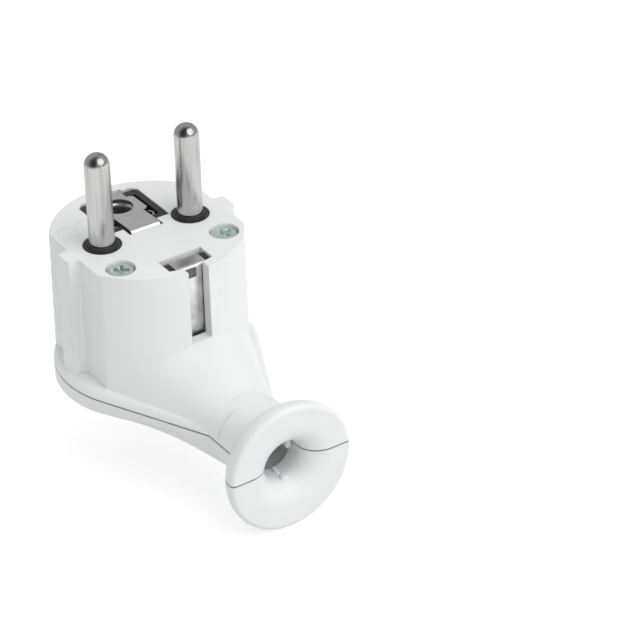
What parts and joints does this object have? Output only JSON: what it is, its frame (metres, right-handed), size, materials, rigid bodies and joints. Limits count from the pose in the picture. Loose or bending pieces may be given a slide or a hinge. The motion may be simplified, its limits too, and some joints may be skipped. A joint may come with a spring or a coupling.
{
  "type": "mains plug",
  "caption": "Angled rewirable mains plug with round pins, side earth contacts, an earth pin socket and a flared cord outlet.",
  "frame": {"origin": "midpoint between the two contact pins, on the plane of the engagement face", "axes": "+Z out of the face along the pins, +X from one pin through the other, +Y away from the cord outlet"},
  "size_m": [0.039, 0.0654, 0.0587],
  "materials": {
    "housing_plastic": "satin",
    "cover_plastic": "satin",
    "carrier_plastic": "matte",
    "pin_metal": "polished",
    "contact_metal": "polished",
    "screw_metal": "satin",
    "clamp_metal": "satin",
    "insert_metal": "satin"
  },
  "bodies": {
    "root": {"front_housing": "housing_plastic", "back_cover": "cover_plastic", "contact_carrier": "carrier_plastic", "rear_earth_plate": "contact_metal", "front_earth_clip": "contact_metal", "earth_pin_sleeve": "contact_metal", "cord_clamp_strap": "clamp_metal", "line_pin": "pin_metal", "neutral_pin": "pin_metal", "line_terminal_washer": "screw_metal", "line_terminal_screw": "screw_metal", "neutral_terminal_washer": "screw_metal", "neutral_terminal_screw": "screw_metal", "earth_terminal_washer": "screw_metal", "earth_terminal_screw": "screw_metal", "cover_screw_left": "screw_metal", "cover_insert_left": "insert_metal", "carrier_screw_left": "screw_metal", "clamp_screw_left": "screw_metal", "cover_screw_right": "screw_metal", "cover_insert_right": "insert_metal", "carrier_screw_right": "screw_metal", "clamp_screw_right": "screw_metal"}
  },
  "joints": []
}
